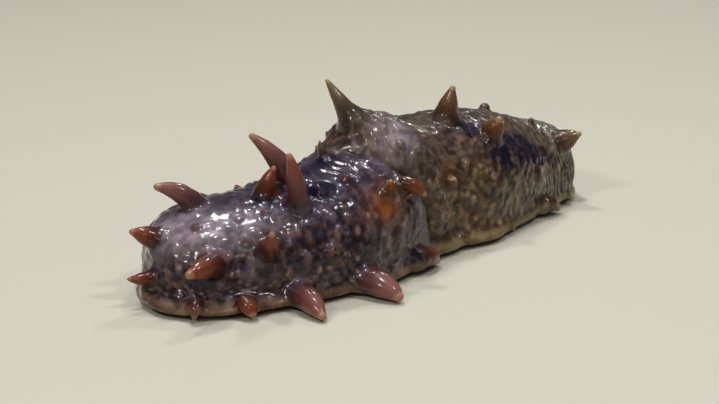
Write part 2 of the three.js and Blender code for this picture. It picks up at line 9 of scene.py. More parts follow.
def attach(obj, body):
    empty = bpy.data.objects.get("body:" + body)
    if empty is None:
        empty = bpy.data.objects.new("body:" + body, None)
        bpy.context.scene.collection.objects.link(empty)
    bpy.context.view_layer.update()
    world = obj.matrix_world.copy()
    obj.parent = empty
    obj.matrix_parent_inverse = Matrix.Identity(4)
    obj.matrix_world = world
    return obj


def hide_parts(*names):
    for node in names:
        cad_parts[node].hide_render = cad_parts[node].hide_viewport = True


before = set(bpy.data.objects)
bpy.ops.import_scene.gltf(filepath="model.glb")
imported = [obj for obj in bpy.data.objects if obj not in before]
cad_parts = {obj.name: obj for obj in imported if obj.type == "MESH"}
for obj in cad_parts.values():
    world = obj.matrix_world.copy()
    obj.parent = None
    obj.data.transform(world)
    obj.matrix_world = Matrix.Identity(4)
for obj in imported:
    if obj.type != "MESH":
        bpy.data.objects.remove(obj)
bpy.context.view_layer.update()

# Japanese spiny sea cucumber, wet and resting on its sole.
# Shapes are worked out in millimetres in the frame's axes and turned to metres when a mesh is made.
# u counts stations from the mouth end. theta turns round the trunk in degrees: 0 is the near flank,
# 90 the crest, 180 the far flank, and -90 and 270 are the two edges of the sole.
MM = 0.001

# Trunk: place of the axis, half width and height at each station
STATIONS = np.array([
    (-26.0, 35.0, 15.5, 18.5),
    (-12.5, 27.5, 17.0, 21.0),
    (1.5, 21.0, 18.5, 23.5),
    (16.0, 18.5, 18.0, 27.0),
    (31.0, 21.0, 16.5, 29.5),
    (46.0, 26.0, 16.5, 28.4),
    (61.0, 27.0, 19.0, 28.6),
    (77.0, 28.0, 17.5, 26.6),
    (92.0, 28.5, 14.0, 21.8),
    (108.0, 29.5, 10.0, 18.0),
])
AXIS_CENTRE = np.array([36.46, 21.27])
LAST = len(STATIONS) - 1
AXIS_X, AXIS_Y, HALF_WIDTH, HEIGHT = range(4)
STATION_LENGTH = 15.5

HEAD_ROUND, TAIL_ROUND = 0.85, 0.45
HEAD_BLUNT, TAIL_BLUNT, MARGIN_BLUNT = 2.7, 2.6, 4.5

CREASE_MIDDLE, CREASE_SLANT, CREASE_TURN = 3.5, 0.65, math.radians(-18)
CREASE_HALF, CREASE_DEPTH = 0.14, 3.6
SHOULDER_RISE, SHOULDER_AT, SHOULDER_LENGTH = 5.5, 4.05, 0.78
SHOULDER_START, SHOULDER_ONSET = 3.35, 0.6

WIDEST, DRAW_IN = 0.33, 0.07
FLANK_FULLNESS, CREST_FULLNESS = 0.88, 0.92

MARGIN_WIDTH = 1.2
MARGIN_LOBES = ((0.8, 0.9, 5.0), (5.3, 1.0, 3.2))
MARGIN_AHEAD, MARGIN_BEHIND = 4.0, -1.0
FAR_SPREAD, FAR_FALL = 0.35, 2
BELLY_Z, MARGIN_DROOP = 3.0, 0.8
SOLE_RIM, SOLE_BOTTOM = 1.9, 1.0

# Tones of the flesh that shows in a papilla
OLIVE, AMBER, RUDDY, MAUVE = range(4)

# Papillae of the back and flanks: u, theta, length, radius, lean to the tail, lean round the
# trunk, bluntness, tone
PAPILLAE = (
    (0.75, 90, 10.5, 2.3, -1.2, 0.0, 2.2, MAUVE),
    (2.2, 88, 14.4, 2.4, -0.45, 0.3, 2.0, MAUVE),
    (2.98, 94, 4.6, 1.3, 0.0, 0.1, 1.4, OLIVE),
    (3.84, 98, 11.2, 3.1, 0.45, 0.4, 1.0, OLIVE),
    (5.85, 78, 8.8, 2.9, 0.1, 0.0, 1.6, 0.5 * AMBER),
    (7.28, 93, 2.4, 1.3, -0.1, 0.1, 2.4, OLIVE),
    (7.92, 67, 2.4, 1.0, -0.4, 0.5, 1.6, OLIVE),
    (8.4, 40, 6.4, 3.0, 0.15, -0.1, 1.7, 0.4 * AMBER),
    (0.14, 67, 6.8, 2.4, -0.2, 0.05, 2.0, RUDDY),
    (1.73, 79, 7.2, 2.5, 0.45, 0.0, 1.5, RUDDY),
    (2.02, 57, 13.0, 2.2, -0.1, 0.45, 2.0, 0.5 * (RUDDY + MAUVE)),
    (6.35, 51, 5.8, 2.5, -0.1, 0.15, 2.2, AMBER),
    (0.78, 18, 10.5, 2.3, -0.85, -0.25, 2.6, RUDDY),
    (1.54, 23, 6.3, 2.1, 0.05, 0.6, 2.0, RUDDY),
    (3.25, 38, 3.6, 2.0, -0.4, 0.9, 1.5, AMBER),
    (3.52, 38, 6.4, 1.8, 0.6, -1.7, 2.4, 0.5 * (AMBER + RUDDY)),
    (4.9, 21, 2.2, 1.9, 0.0, 0.3, 1.9, 0.7 * AMBER),
    (0.05, 3, 6.4, 2.0, -0.1, 0.1, 1.5, RUDDY),
)

# Papillae of the near margin: u, slide towards the tail, reach, radius, tone
NEAR_MARGIN = (
    (0.52, -1.3, 3.3, 1.5, RUDDY),
    (1.13, 1.1, 4.4, 1.7, RUDDY),
    (1.86, 0.8, 11.3, 2.6, 0.9 * MAUVE),
    (2.72, 1.6, 10.3, 2.9, MAUVE),
    (3.6, 8.3, 1.0, 2.4, RUDDY),
    (5.1, 0.5, 0.6, 1.1, OLIVE),
    (6.3, 1.0, 1.0, 1.1, OLIVE),
    (7.5, 5.5, 0.8, 2.0, AMBER),
    (8.25, 2.5, 1.0, 1.1, OLIVE),
)
MARGIN_THETA, MARGIN_TIP_Z, MARGIN_ARCH, LOWEST_Z = 62, 0.95, 0.3, 0.75
MARGIN_PAPILLA_BLUNT = 2.4

# Rows of the far side: theta, first u, step, count, reach, radius
FAR_ROWS = ((150, 1.6, 0.98, 7, 4.2, 1.8), (176, 0.8, 0.97, 9, 7.0, 2.1))
FAR_MARGIN = (1.6, 0.9, 8, 7.0, 1.7, 1.0)
SMALL_ROWS = ((62, 0.5, 1.07, 8), (8, 1.1, 1.03, 8), (122, 0.9, 1.0, 8), (186, 1.0, 1.05, 7))
SMALL_REACH, SMALL_GIRTH = 1.7, 1.1
PAPILLA_SEED = 4127

# Where the solids part, and how far from that a drawn root stays, in u
HEAD_CUT, MIDDLE_CUT, TAIL_CUT = 1.3, 5.35, 7.0
CLEAR_OF_CUT, FAR_CLEAR_OF_CUT = 0.3, 0.5

# Shape that all papillae share, and how finely the large and the small ones are drawn
ROOT_SPREAD, ROOT_SPREAD_OVER, TIP_SHARE, ROOT_SUNK = 0.45, 0.15, 0.16, 1.6
LARGE_SIDES, LARGE_STEPS, SMALL_SIDES, SMALL_STEPS = 28, 22, 16, 10

# Mouth: place, radius of the lip and of the hollow, tentacles and the blunt lobes that each ends in
MOUTH_U, MOUTH_RADIUS, MOUTH_HOLLOW, TENTACLES, LOBES = 0.62, 5.0, 2.2, 20, 4
LOBE_PROFILE = ((0.16, 1.9), (0.24, 1.5), (0.3, 1.15), (0.26, 0.9), (0.12, 0.78))
LIP_SIDES, LOBE_SIDES = 60, 10

# Vent at the tail end: height, radius, depth and the puckers round it
VENT_Z, VENT_RADIUS, VENT_DEPTH, PUCKERS = 8.5, 1.7, 3.5, 10

# Tube feet: rows across the sole as shares of its half width, feet in a row, the first foot and the
# step in u, the thinnest radius, and a foot from root to sucker as shares of its radius and heights
FOOT_ROWS = (-0.72, -0.56, -0.4, -0.1, 0.1, 0.4, 0.56, 0.72)
FEET_IN_ROW, FIRST_FOOT, FOOT_STEP, FOOT_RADIUS, FOOT_SIDES = 44, 0.3, 0.193, 0.42, 12
FOOT_PROFILE = ((1.15, SOLE_BOTTOM + 0.5), (0.9, 0.75), (0.95, 0.45), (1.35, 0.22), (1.45, 0.08),
                (1.3, 0.0), (0.7, 0.0))
FOOT_SEED = 311
CLEAR_OF_MOUTH = 1.4
FOOT_CLOUD_MM = 1.8

# Folds and grains of the skin in millimetres: spacing, and how far they stand out
STREAK_MM, WART_MM, KNOB_MM, WORM_MM, RING_FOLD_MM = 1.2, 1.7, 3.4, 2.0, 1.9
STREAK_RELIEF, WART_RELIEF, KNOB_RELIEF, WORM_RELIEF, RING_RELIEF = 0.45, 0.5, 0.3, 0.45, 0.6
BROAD_MM, UNEVEN_MM, RIPPLE_MM, PAPILLA_MM = 8.0, 3.6, 6.5, 2.2
BROAD_RELIEF, UNEVEN_RELIEF, RIPPLE_RELIEF, PAPILLA_RELIEF = 0.42, 0.24, 0.6, 0.2
BEAD_SPREAD = 0.55

# Millimetres of skin for each degree round the trunk, and how far the patterns wander
GIRTH_PER_DEGREE, WANDER = 0.27, 1.2

# The lip that rolls over the crease and the groove behind it: height, place past the crease in u,
# and half length
LIP_RISE, LIP_PAST, LIP_HALF = 0.9, -0.12, 0.09
GROOVE_DEPTH, GROOVE_PAST, GROOVE_HALF = 1.4, 0.02, 0.05

# The dent behind the long papillae: u and theta, radius and depth
DENT_PLACE, DENT_RADIUS, DENT_DEPTH = (2.42, 65), 2.5, 2.6

# Patches of colour on the skin: u, theta, and half lengths along the trunk and round it in degrees
# Painted sheen: pale lilac where the overhead lamp is mirrored on the head and the shoulder
PAINTED_SHEEN_PATCHES = ((0.8, 50, 0.75, 17), (0.35, 72, 0.4, 24), (3.95, 64, 0.4, 14))
# Dark ink stains on the rear body, and painted shade in the dent by the long papillae and on the front crest
INK_AND_SHADE_PATCHES = ((6.65, 36, 0.75, 17), (6.0, 60, 0.4, 10), (7.4, 28, 0.6, 10), (2.45, 64, 0.34, 16),
               (2.8, 88, 0.5, 12), (1.8, 70, 0.3, 14))
AMBER_PATCHES = ((3.15, 32, 0.24, 13), (4.88, 24, 0.22, 10))

# How strongly the raised grains and the amber stains show in the colour
DOME_SHARE, AMBER_SHARE = 0.4, 0.9

# Fields that the worked skin carries for its finish
SKIN_FIELDS = ("cover", "tip", "tone", "rear", "tail", "top", "height", "dome", "grain", "painted_sheen",
               "amber", "ink_and_shade")

# Soft clouds in the pigment: name, real size in millimetres, detail, and a shift that sets each
# apart. The finest pits of the skin are about 0.2 mm wide and are drawn at 0.7 mm to show.
SKIN_CLOUDS = (
    ("wide cloud", 12.0, 3.0, 0.0),
    ("blotch cloud", 5.5, 2.0, 1.9),
    ("spot cloud", 4.0, 3.0, 0.3),
    ("tint cloud", 2.0, 2.0, 0.7),
    ("grain cloud", 1.7, 3.0, 2.3),
    ("pits", 0.7, 2.0, 0.0),
)

# Shares that steer the finish: name, what it follows, the low and high of that, the share at each,
# and what it is multiplied by
SKIN_SHARES = (
    ("patches", "wide cloud", 0.38, 0.62, 0.0, 1.0),
    ("mottle", "spot cloud", 0.3, 0.7, 0.0, 1.0),
    ("tint", "tint cloud", 0.35, 0.65, 0.0, 1.0),
    ("grain strength", "mottle", 0.0, 1.0, 0.65, 1.0),
    ("pale grains", "uneven", 0.45, 0.88, 0.0, 1.0, "grain strength"),
    ("chosen grains", "grain", 0.5, 0.95, 0.0, 1.0),
    ("bright grains", "uneven", 0.68, 0.98, 0.0, 1.0, "chosen grains"),
    # Share of the painted sheen, made blotchy by the tint cloud
    ("painted sheen", "tint", 0.0, 1.0, 0.45, 0.85, "painted_sheen"),
    ("blotches", "blotch cloud", 0.5, 0.68, 0.0, 0.45),
    ("margin", "height", 0.35, 0.02, 0.0, 0.85),
    # Share of the ink stains and the painted shade, weaker on the pale grains
    ("inked and shaded", "pale grains", 0.3, 1.0, 0.96, 0.6, "ink_and_shade"),
    ("tipward", "tip", 0.1, 0.95, 0.0, 1.0),
    ("olive to amber", "tone", 0.0, 1.0, 0.0, 1.0),
    ("amber to ruddy", "tone", 1.0, 2.0, 0.0, 1.0),
    ("ruddy to mauve", "tone", 2.0, 3.0, 0.0, 1.0),
    ("flecks", "pits", 0.5, 0.72, 0.0, 0.2),
    ("ruddy tips", "tone", 0.9, 2.0, 0.0, 1.0),
    ("very tip", "tip", 0.92, 1.0, 0.0, 0.55),
    ("roughness", "mottle", 0.0, 1.0, 0.34, 0.46),
)

# Tones of the trunk: its ground from dark to light, its grains from warm to cool, and the brightest
TRUNK_TONES = {
    "front flank": ("#1a1016", "#2b1b1b", "#6c4e40", "#504a5e", "#8f7568"),
    "front crest": ("#1a0f1c", "#2e1f2c", "#574149", "#4c425c", "#7b6878"),
    "rear flank": ("#2c1e14", "#42301e", "#735838", "#6e6054", "#968058"),
    "rear crest": ("#2b1d19", "#42312a", "#6c573f", "#655450", "#84725f"),
    "tail end": ("#231c1d", "#3c312a", "#857356", "#687066", "#9c8b6d"),
}

# Colours laid over one another: name, share, and what shows where the share is 0 and where it is 1
SKIN_LAYERS = (
    ("front", "top", "front flank", "front crest"),
    ("rear", "top", "rear flank", "rear crest"),
    ("rear", "tail", "rear", "tail end"),
    ("trunk", "rear", "front", "rear"),
    # Painted sheen: a pale lilac laid over the trunk on the head and the shoulder
    ("trunk", "painted sheen", "trunk", "#a09096"),
    ("amber stain", "tint", "#703a10", "#9a601e"),
    ("trunk", "amber", "trunk", "amber stain"),
    ("shade", "rear", "#1b1826", "#2c2114"),
    ("trunk", "blotches", "trunk", "shade"),
    ("front margin", "mottle", "#4c3529", "#856a50"),
    ("rear margin", "mottle", "#66543a", "#8a7856"),
    ("margin", "rear", "front margin", "rear margin"),
    ("trunk", "margin", "trunk", "margin"),
    # Ink stains and painted shade: near-black blue-violet
    ("trunk", "inked and shaded", "trunk", "#0e0622"),
    ("olive", "tipward", "#362a1e", "#6b5c42"),
    ("amber", "tipward", "#331c08", "#673a12"),
    ("ruddy", "tipward", "#38160d", "#74371f"),
    ("mauve", "tipward", "#43282a", "#805248"),
    ("papilla", "olive to amber", "olive", "amber"),
    ("papilla", "amber to ruddy", "papilla", "ruddy"),
    ("papilla", "ruddy to mauve", "papilla", "mauve"),
    ("papilla", "flecks", "papilla", "#80584a"),
    ("pale tip", "ruddy tips", "#ab9868", "#b08666"),
    ("papilla", "very tip", "papilla", "pale tip"),
    ("skin", "cover", "trunk", "papilla"),
)

# The camera's place in millimetres, its aim, and its long lens in pixels of the picture's width
CAMERA_PLACE = (-353.16, -345.07, 154.6)
CAMERA_AZIMUTH, CAMERA_ELEVATION = math.radians(-45), math.radians(16.1)
FOCAL_PIXELS, PICTURE_PIXELS, SENSOR_MM = 2150, 719, 36.0

# Lamps: name, place and width in metres, power in watts, colour
LAMPS = (
    ("overhead", (-0.03, 0.02, 0.75), 0.4, 0.8, "#e6e4ff"),
    ("glint", (-0.62, -0.05, 0.54), 0.09, 1.6, "#ffffff"),
    ("glint", (-0.1, 0.02, 0.75), 0.09, 1.6, "#ffffff"),
    ("glint", (0.08, 0.3, 0.7), 0.09, 1.6, "#ffffff"),
    ("glint", (0.08, -0.42, 0.7), 0.09, 1.6, "#ffffff"),
    ("front_fill", (-0.55, -0.5, 0.5), 0.3, 0.8, "#fff2df"),
    ("glint_right", (0.5, 0.25, 0.66), 0.07, 1.3, "#ffffff"),
    ("glint_back", (0.75, 0.32, 0.5), 0.08, 0.2, "#ffffff"),
)
LAMP_AIM = (0.0, 0.0, 0.015)

# Floor: half its side and its height in millimetres, a hair below the feet
FLOOR_HALF, FLOOR_Z = 3000, -0.02

# Cell of the even surface that the skin is worked on, in millimetres
VOXEL = 0.42


def seeded_stream(seed):
    """A repeatable stream of numbers from 0 to 1."""
    state = seed
    while True:
        state = (state * 16807) % 2147483647
        yield state / 2147483647


def swell(value, middle, half):
    """A soft bell from 0 to 1 round a middle."""
    return np.exp(-(((value - middle) / half) ** 2))


def smooth_step(value, low=0.0, high=1.0):
    """A share that eases from 0 at low to 1 at high."""
    t = np.clip((np.asarray(value, float) - low) / (high - low), 0, 1)
    return t * t * (3 - 2 * t)


def measure(u, column):
    """Smooth curve through one measure of the stations."""
    values = STATIONS[:, column]
    padded = np.concatenate([[2 * values[0] - values[1]], values, [2 * values[-1] - values[-2]]])
    u = np.asarray(u, float)
    cell = np.clip(np.floor(u).astype(int), 0, LAST - 1)
    t = u - cell
    a, b, c, d = (padded[cell + step] for step in range(4))
    return 0.5 * (2 * b + (c - a) * t + (2 * a - 5 * b + 4 * c - d) * t**2 + (3 * b - a - 3 * c + d) * t**3)


def axis_at(u):
    """Place of the axis and its direction towards the tail."""
    step = 0.001
    ahead, behind = np.minimum(u + step, LAST), np.maximum(u - step, 0)
    dx = measure(ahead, AXIS_X) - measure(behind, AXIS_X)
    dy = measure(ahead, AXIS_Y) - measure(behind, AXIS_Y)
    length = np.hypot(dx, dy)
    x = measure(u, AXIS_X) - AXIS_CENTRE[0]
    y = measure(u, AXIS_Y) - AXIS_CENTRE[1]
    return x, y, dx / length, dy / length


def crease_at(theta):
    """Where the crease crosses the section, on one slanting plane."""
    turn = np.radians(theta)
    up = np.sin(turn)
    across = np.where(up >= 0, np.cos(turn), np.sign(90 - np.asarray(theta, float)))
    height = np.where(up >= 0, up, up * WIDEST / (1 - WIDEST))
    return CREASE_MIDDLE + CREASE_SLANT * (math.cos(CREASE_TURN) * across + math.sin(CREASE_TURN) * height)


def opening(u, head_blunt, tail_blunt):
    """How far the section has opened from each end, from 0 at the end to 1."""
    head = np.clip(1 - u / HEAD_ROUND, 0, 1)
    tail = np.clip(1 - (LAST - u) / TAIL_ROUND, 0, 1)
    return (1 - head**head_blunt) ** (1 / head_blunt) * (1 - tail**tail_blunt) ** (1 / tail_blunt)


def margin_width(u):
    """How far the thin margin of the sole spreads past the flank."""
    return MARGIN_WIDTH + sum(wide * swell(u, at, long) for at, long, wide in MARGIN_LOBES)


def skin_point(u, theta):
    """Points on the smooth skin, before its folds and granules."""
    u, theta = np.broadcast_arrays(np.asarray(u, float), np.asarray(theta, float))
    x, y, tail_x, tail_y = axis_at(u)
    turn = np.radians(theta)
    across, up = np.abs(np.cos(turn)), np.sin(turn)
    side = np.where(theta < 90, 1, -1)
    past = u - crease_at(theta)
    near_share = smooth_step((np.cos(turn) + 0.35) / 1.2)
    crease = CREASE_DEPTH * swell(past, 0, CREASE_HALF) * near_share
    shoulder_past = u - np.maximum(crease_at(theta), SHOULDER_START)
    onset = smooth_step(shoulder_past / SHOULDER_ONSET) * np.clip(up, 0, None) ** 2
    rise = SHOULDER_RISE * onset * swell(u, SHOULDER_AT, SHOULDER_LENGTH)
    half_width = measure(u, HALF_WIDTH) - crease
    widest_z = WIDEST * measure(u, HEIGHT)
    crest_z = measure(u, HEIGHT) - crease + rise
    low = np.clip(-up, 0, 1)
    open_back = opening(u, HEAD_BLUNT, TAIL_BLUNT)
    open_low = opening(u, HEAD_BLUNT + (MARGIN_BLUNT - HEAD_BLUNT) * low, TAIL_BLUNT)
    above = up >= 0
    offset_back = half_width * across**FLANK_FULLNESS * open_back
    spread, fall = np.where(side > 0, 1, FAR_SPREAD), np.where(side > 0, 1, FAR_FALL)
    offset_low = (half_width * (1 - DRAW_IN * (1 - across)) + spread * margin_width(u) * low**5) * open_low
    offset = side * np.where(above, offset_back, offset_low)
    z_back = widest_z + (crest_z - widest_z) * np.clip(up, 0, 1) ** CREST_FULLNESS * open_back
    z_low = widest_z - (widest_z - BELLY_Z) * low - MARGIN_DROOP * low**8
    z = np.where(above, z_back, z_low)
    push = low**4 * (1 - open_low) ** fall * np.where(u < LAST / 2, -MARGIN_AHEAD, MARGIN_BEHIND)
    return np.stack([x + offset * tail_y + push * tail_x, y - offset * tail_x + push * tail_y, z], -1)


def unit(vector):
    """The vector brought to length 1."""
    return vector / np.linalg.norm(vector)


def skin_frame(u, theta):
    """The root on the skin, and the directions out of it, towards the tail and round the trunk."""
    inner = min(max(u, 0.02), LAST - 0.02)
    tailward = unit(skin_point(inner + 0.02, theta) - skin_point(inner - 0.02, theta))
    round_trunk = unit(skin_point(inner, theta + 2) - skin_point(inner, theta - 2))
    out = unit(np.cross(tailward, round_trunk))
    return skin_point(u, theta), out, tailward, round_trunk


class Papilla:
    """A tapered papilla along a curve with its root sunk in the skin."""

    def __init__(self, root, bend, tip, out, girth, blunt, tone):
        self.root, self.bend, self.tip, self.out = root, bend, tip, out
        self.girth, self.blunt, self.tone = girth, blunt, tone
        self.tip_radius = TIP_SHARE * blunt * girth

    def centre(self, t):
        t = np.asarray(t, float)[..., None]
        return (1 - t) ** 2 * self.root + 2 * t * (1 - t) * self.bend + t**2 * self.tip

    def along(self, t):
        return unit((1 - t) * (self.bend - self.root) + t * (self.tip - self.bend))

    def radius(self, t):
        spread = 1 + ROOT_SPREAD * np.exp(-t / ROOT_SPREAD_OVER)
        return self.girth * spread * (1 - t**self.blunt) + self.tip_radius * t

    def nearest(self, points):
        """Points close to this papilla, with their place along it and their distance from its middle line."""
        steps = np.linspace(0, 1, 81)
        line = self.centre(steps) - np.outer(steps * self.tip_radius, self.along(1.0))
        reach = np.linalg.norm(self.tip - self.root) / 2 + 2.2 * self.girth + 1
        near = np.flatnonzero(np.linalg.norm(points - (self.root + self.tip) / 2, axis=1) < reach)
        gaps = np.linalg.norm(points[near][:, None] - line[None], axis=2)
        best = gaps.argmin(1)
        return near, steps[best], gaps[np.arange(len(near)), best], line[best]

    def rings(self, sides, steps):
        """Rings from the sunk root to the tip."""
        turns = np.arange(sides) * 2 * math.pi / sides

        def ring(centre, along, radius):
            helper = np.array([0, 0, 1.0]) if abs(along[2]) < 0.9 else np.array([1.0, 0, 0])
            first = unit(np.cross(along, helper))
            second = np.cross(along, first)
            return centre + radius * (np.cos(turns)[:, None] * first - np.sin(turns)[:, None] * second)

        sunk = self.root - self.out * (ROOT_SUNK + self.girth * 0.5)
        made = [ring(sunk, self.out, self.girth * 0.7),
                ring(self.root - 0.3 * self.out, self.out, self.radius(0.0))]
        for t in np.sin(np.linspace(0, math.pi / 2, steps)[1:]):
            middle = self.centre(t) - t * self.tip_radius * self.along(1.0)
            made.append(ring(middle, self.along(t), self.radius(t)))
        for turn in np.radians((25, 50, 72)):
            middle = self.tip - self.along(1.0) * self.tip_radius * (1 - math.sin(turn))
            made.append(ring(middle, self.along(1.0), self.tip_radius * math.cos(turn)))
        rings = np.array(made)
        rings[..., 2] = np.maximum(rings[..., 2], LOWEST_Z)
        return rings


def back_papilla(u, theta, reach, girth, tail, over, blunt, tone):
    """A papilla that stands out of the skin and leans by shares tailward and round the trunk."""
    root, out, tailward, round_trunk = skin_frame(u, theta)
    lean = unit(out + tail * tailward + over * round_trunk)
    bend = root + reach * 0.25 * out + reach * 0.25 * lean
    return Papilla(root, bend, root + reach * lean, out, girth, blunt, tone)


def margin_papilla(u, slide, reach, girth, side, tone):
    """A papilla that spreads from the margin, side 1 on the near flank and -1 on the far one."""
    theta = -MARGIN_THETA if side > 0 else 180 + MARGIN_THETA
    root, out, _, _ = skin_frame(u, theta)
    _, _, tail_x, tail_y = axis_at(u)
    tip = root + reach * np.array([side * tail_y, -side * tail_x, 0]) + slide * np.array([tail_x, tail_y, 0])
    bend = (root + tip) / 2
    tip[2] = MARGIN_TIP_Z
    bend[2] = root[2] + MARGIN_ARCH
    return Papilla(root, bend, tip, out, girth, MARGIN_PAPILLA_BLUNT, tone)


def clear_of_cuts(u, theta, clear):
    """Keeps a drawn root off the places where the solids part."""
    for cut in (HEAD_CUT, float(crease_at(theta)), MIDDLE_CUT, TAIL_CUT):
        if abs(u - cut) < clear:
            return cut + (-clear if u < cut else clear)
    return u


def all_papillae():
    """Large papillae first, then the small ones."""
    draws = seeded_stream(PAPILLA_SEED)

    def draw():
        return next(draws)

    def vary(share):
        return 1 + share * (draw() - 0.5)

    large = [back_papilla(*row) for row in PAPILLAE]
    large += [margin_papilla(u, slide, reach, girth, 1, tone) for u, slide, reach, girth, tone in NEAR_MARGIN]
    small = []
    for row_theta, first, step, count, reach, girth in FAR_ROWS:
        for i in range(count):
            theta = row_theta + 10 * (draw() - 0.5)
            u = clear_of_cuts(first + step * i + 0.2 * (draw() - 0.5), theta, FAR_CLEAR_OF_CUT)
            size = reach * vary(0.5), girth * vary(0.3)
            lean = 0.8 * (draw() - 0.5), 0.5 * (draw() - 0.5)
            large.append(back_papilla(u, theta, *size, *lean, 1.3 + draw(), tone_at(u)))
    first, step, count, reach, girth, slide = FAR_MARGIN
    for i in range(count):
        u = clear_of_cuts(first + step * i + 0.15 * (draw() - 0.5), 180 + MARGIN_THETA, FAR_CLEAR_OF_CUT)
        shift = slide * 2 * (draw() - 0.5)
        large.append(margin_papilla(u, shift, reach * vary(0.4), girth * vary(0.3), -1, RUDDY))
    for row_theta, first, step, count in SMALL_ROWS:
        for i in range(count):
            theta = row_theta + 14 * (draw() - 0.5)
            u = clear_of_cuts(first + step * i + 0.3 * (draw() - 0.5), theta, CLEAR_OF_CUT)
            size = SMALL_REACH * vary(0.5), SMALL_GIRTH * vary(0.3)
            small.append(back_papilla(u, theta, *size, 0.3 * (draw() - 0.5), 0, 1.6, tone_at(u)))
    return large, small


def tone_at(u):
    """The front papillae are mauve to ruddy and the rear ones olive."""
    return 2.6 - 2.5 * float(smooth_step(u, 2.6, 4.4))


def closed_grid(rings):
    """Vertices and quads of a closed surface through equal rings, with a point at each end."""
    count, sides = rings.shape[:2]
    points = np.concatenate([rings.reshape(-1, 3), [rings[0].mean(0)], [rings[-1].mean(0)]])
    row, side = np.meshgrid(np.arange(count - 1), np.arange(sides), indexing="ij")
    after = (side + 1) % sides
    quads = np.stack([row * sides + side, (row + 1) * sides + side,
                      (row + 1) * sides + after, row * sides + after], -1).reshape(-1, 4)
    first = [(count * sides, i, (i + 1) % sides) for i in range(sides)]
    top = (count - 1) * sides
    last = [(count * sides + 1, top + (i + 1) % sides, top + i) for i in range(sides)]
    return points, quads.tolist() + first + last


def trunk_rings():
    """Rings of the trunk with the rounded rim and the flat underside of the sole."""
    # Rings crowd towards both round ends, and points crowd under the flanks
    ends = np.sin(np.linspace(0, math.pi / 2, 14))[1:]
    head_us = 0.9 * (1 - ends[::-1])
    head_us[0] = 0.003
    tail_us = LAST - 0.5 * (1 - ends)
    tail_us[-1] = LAST - 0.003
    us = np.concatenate([head_us, np.arange(0.93, LAST - 0.52, 0.03), tail_us])
    thetas = np.concatenate([np.linspace(-90, 0, 20, endpoint=False), np.linspace(0, 180, 72, endpoint=False),
                             np.linspace(180, 270, 21)])
    u, theta = np.meshgrid(us, thetas, indexing="ij")
    upper = skin_point(u, theta)
    near, far = upper[:, 0], upper[:, -1]
    middle = (near + far) / 2
    profile = ((-0.15, SOLE_RIM - 0.05), (-0.05, SOLE_RIM - 0.5), (0.8, SOLE_BOTTOM))
    lower = []
    for edge, inset, z in [(far, *step) for step in profile] + [(near, *step) for step in profile[::-1]]:
        inward = middle - edge
        length = np.linalg.norm(inward, axis=1, keepdims=True)
        point = edge + inward / np.maximum(length, 0.01) * np.minimum(inset, 0.6 * length)
        point[:, 2] = z
        lower.append(point)
    return np.concatenate([upper, np.stack(lower, 1)], 1)


def joined(parts):
    """The points and the faces of many closed parts as one list of each."""
    points, faces = [], []
    start = 0
    for part_points, part_faces in parts:
        points.append(part_points)
        faces += [[start + index for index in face] for face in part_faces]
        start += len(part_points)
    return np.concatenate(points), faces


def mesh_object(name, points, faces, scale=MM):
    """A mesh object from millimetre points."""
    mesh = bpy.data.meshes.new(name)
    mesh.from_pydata((np.asarray(points) * scale).tolist(), [], faces)
    mesh.update()
    made = bpy.data.objects.new(name, mesh)
    bpy.context.scene.collection.objects.link(made)
    return made


def fused_surface(parts, voxel):
    """One even surface round overlapping closed parts: its points and faces, in millimetres."""
    rough = mesh_object("rough", *joined(parts), 1.0)
    remesh = rough.modifiers.new("fuse", "REMESH")
    remesh.mode = "VOXEL"
    remesh.voxel_size = voxel
    done = rough.evaluated_get(bpy.context.evaluated_depsgraph_get()).to_mesh()
    fused = np.empty(len(done.vertices) * 3, np.float32)
    done.vertices.foreach_get("co", fused)
    quads = np.empty(len(done.polygons) * 4, np.int32)
    done.polygons.foreach_get("vertices", quads)
    mesh = rough.data
    bpy.data.objects.remove(rough)
    bpy.data.meshes.remove(mesh)
    return fused.reshape(-1, 3).astype(float), quads.reshape(-1, 4)


class Surface:
    """Points, quads and neighbours of a surface that is being worked."""

    def __init__(self, points, quads):
        self.points, self.quads = points, quads
        edges = np.concatenate([quads[:, [0, 1]], quads[:, [1, 2]], quads[:, [2, 3]], quads[:, [3, 0]]])
        self.edges = np.unique(np.sort(edges, 1), axis=0)
        ends = self.edges.ravel()
        self.degree = np.bincount(ends, minlength=len(points)).astype(float)

    def towards_neighbours(self):
        """The way from each point to the mean place of its neighbours."""
        a, b = self.edges.T
        count = len(self.points)
        total = np.stack([np.bincount(a, column[b], count) + np.bincount(b, column[a], count)
                          for column in self.points.T], -1)
        return total / self.degree[:, None] - self.points

    def smooth(self, rounds, weight):
        """Evens the surface out, by a weight from 0 to 1 at each point."""
        for _ in range(rounds):
            self.points = self.points + weight[:, None] * self.towards_neighbours()

    def even_out(self, rounds):
        """Takes out steps. Each round goes in, and out again by a little more, so the form doesn't shrink."""
        for _ in range(rounds):
            for share in (0.5, -0.53):
                self.points = self.points + share * self.towards_neighbours()

    def normals(self):
        """Directions out of the surface, of length 1."""
        p = self.points[self.quads]
        face = np.cross(p[:, 2] - p[:, 0], p[:, 3] - p[:, 1])
        total = np.stack([np.bincount(self.quads.ravel(), np.repeat(face[:, k], 4), len(self.points))
                          for k in range(3)], -1)
        return total / np.maximum(np.linalg.norm(total, axis=1, keepdims=True), 1e-9)


def scattered(cells, seed):
    """Repeatable numbers from 0 to 1 for whole-number cells, three for each."""
    stir = np.array([[127.1, 269.5, 419.2], [311.7, 183.3, 371.9], [74.7, 246.1, 124.6]])
    return np.modf(np.abs(np.sin(cells @ stir + seed * 17.31)) * 43758.5453)[0]


